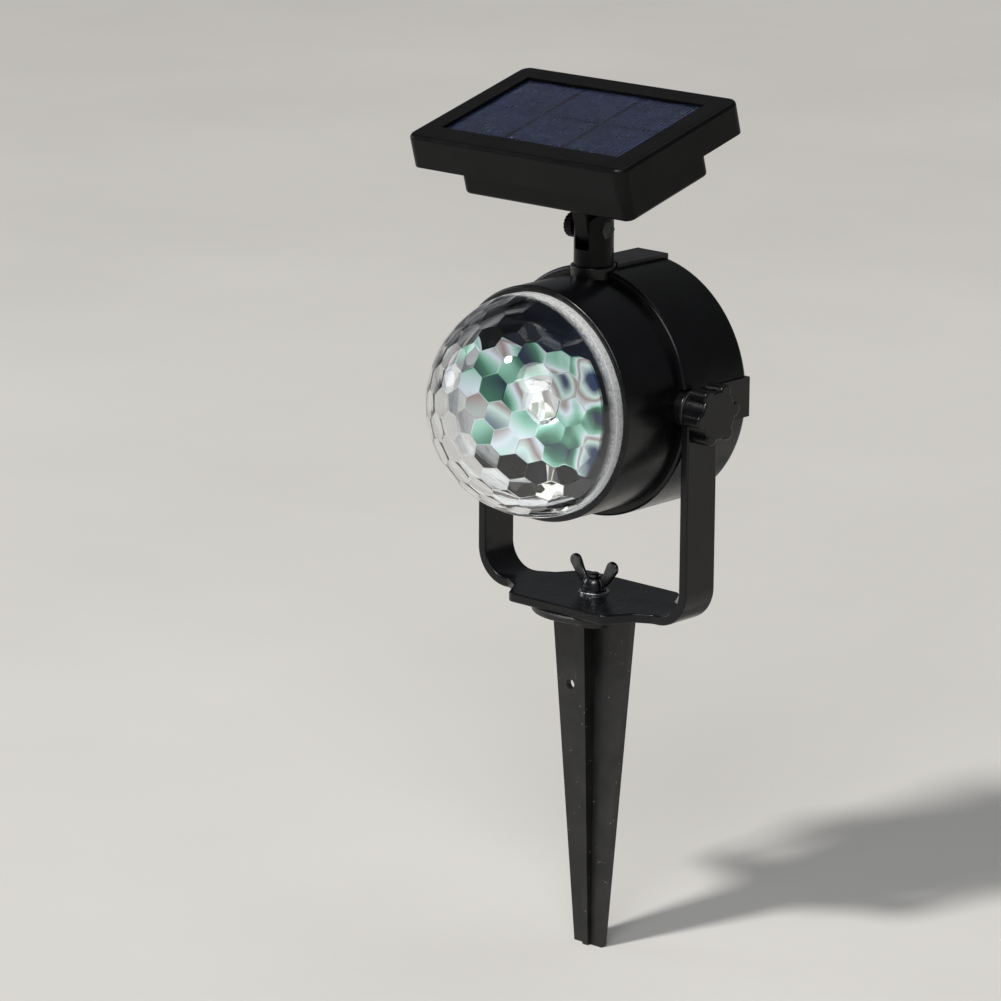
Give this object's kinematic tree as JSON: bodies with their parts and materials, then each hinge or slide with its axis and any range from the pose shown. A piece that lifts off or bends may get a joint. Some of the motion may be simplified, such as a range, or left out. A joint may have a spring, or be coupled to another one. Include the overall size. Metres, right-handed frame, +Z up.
{
  "type": "light projector stake",
  "caption": "Solar garden light projector on a ground spike: tilting lamp head with a turning faceted dome in a U bracket, and a tilting panel on a post above.",
  "frame": {"origin": "on the spike's axis at the underside of its round flange, where the flange stops on the ground", "axes": "+Z up along the spike, the lamp looks along -Y, X is the lamp head's tilt axis"},
  "size_m": [0.1322, 0.1158, 0.3886],
  "materials": {
    "black_plastic": "satin moulded",
    "stake_plastic": "slightly rough moulded",
    "plated_steel": "dark bright plating",
    "zinc_steel": "zinc plated",
    "brass": "turned",
    "rubber": "soft",
    "clear_plastic": "clear moulded acrylic",
    "silvered": "vacuum silvered",
    "white_plastic": "acetal",
    "circuit_board": "solder mask",
    "white_board": "white solder mask",
    "led": "LED packages",
    "component": "electronic parts",
    "solar_cell": "dark blue silicon",
    "battery_wrap": "shrink wrap"
  },
  "bodies": {
    "stake": {"ground_spike": "stake_plastic", "mounting_bolt": "zinc_steel"},
    "bracket": {"u_bracket": "black_plastic", "flat_washer": "plated_steel"},
    "wing_nut": {"wing_nut": "plated_steel"},
    "lamp_head": {"front_barrel": "black_plastic", "bezel_ring": "black_plastic", "rear_shell": "black_plastic", "housing_seal": "rubber", "housing_screws": "zinc_steel", "pivot_inserts": "brass", "friction_washers": "rubber", "light_deck": "black_plastic", "deck_screws": "zinc_steel", "led_board": "white_board", "led_emitters": "led", "reflector": "silvered", "led_lens": "clear_plastic", "motor_gearbox": "zinc_steel", "motor_can": "zinc_steel", "motor_screws": "zinc_steel", "driver_board": "circuit_board", "board_screws": "zinc_steel", "driver_components": "component"},
    "dome": {"faceted_dome": "clear_plastic", "ring_gear": "black_plastic"},
    "pinion": {"motor_pinion": "white_plastic", "motor_shaft": "zinc_steel"},
    "right_knob": {"right_knob": "black_plastic", "right_stud": "zinc_steel"},
    "left_knob": {"left_knob": "black_plastic", "left_stud": "zinc_steel"},
    "post": {"post": "black_plastic", "post_clip": "zinc_steel", "hinge_nut": "plated_steel"},
    "solar_panel": {"panel_frame": "black_plastic", "pv_cover": "clear_plastic", "pv_board": "component", "pv_cells": "solar_cell", "battery_box": "black_plastic", "panel_gasket": "rubber", "panel_screws": "zinc_steel", "battery_cell": "battery_wrap", "battery_cradle": "white_plastic", "battery_tabs": "zinc_steel", "charge_board": "circuit_board", "charge_switch": "component"},
    "panel_knob": {"panel_knob": "black_plastic", "hinge_screw": "zinc_steel"},
    "power_button": {"power_button": "rubber"}
  },
  "joints": [
    {"name": "bracket_turn", "type": "hinge", "parent": "stake", "child": "bracket", "pos_m": [0, 0, 0.005], "axis": [0, 0, 1], "continuous": true},
    {"name": "wing_nut_turn", "type": "hinge", "parent": "stake", "child": "wing_nut", "pos_m": [0, 0, 0.01], "axis": [0, 0, 1], "continuous": true},
    {"name": "lamp_tilt", "type": "hinge", "parent": "bracket", "child": "lamp_head", "pos_m": [0, 0, 0.0935], "axis": [1, 0, 0], "range_deg": [-90, 55]},
    {"name": "dome_spin", "type": "hinge", "parent": "lamp_head", "child": "dome", "pos_m": [0, -0.0335, 0.0935], "axis": [0, 1, 0], "continuous": true},
    {"name": "pinion_spin", "type": "hinge", "parent": "lamp_head", "child": "pinion", "pos_m": [0, -0.022, 0.0575], "axis": [0, 1, 0], "continuous": true},
    {"name": "right_knob_turn", "type": "hinge", "parent": "lamp_head", "child": "right_knob", "pos_m": [0.062, 0, 0.0935], "axis": [1, 0, 0], "continuous": true},
    {"name": "left_knob_turn", "type": "hinge", "parent": "lamp_head", "child": "left_knob", "pos_m": [-0.062, 0, 0.0935], "axis": [1, 0, 0], "continuous": true},
    {"name": "post_swivel", "type": "hinge", "parent": "lamp_head", "child": "post", "pos_m": [0, -0.0025, 0.1466], "axis": [0, 0, 1], "range_deg": [-170, 170]},
    {"name": "panel_tilt", "type": "hinge", "parent": "post", "child": "solar_panel", "pos_m": [0, -0.0025, 0.1615], "axis": [1, 0, 0], "range_deg": [-70, 40]},
    {"name": "panel_knob_turn", "type": "hinge", "parent": "post", "child": "panel_knob", "pos_m": [-0.01, -0.0025, 0.1615], "axis": [1, 0, 0], "continuous": true},
    {"name": "power_button_press", "type": "slide", "parent": "solar_panel", "child": "power_button", "axis": [0, -0.2656, 0.9641], "range_m": [0, 0.001], "stiffness_N_per_m": 1500, "springref_m": -0.0004}
  ],
  "couplings": [
    {"joint": "pinion_spin", "follows": "dome_spin", "ratio": 7}
  ]
}
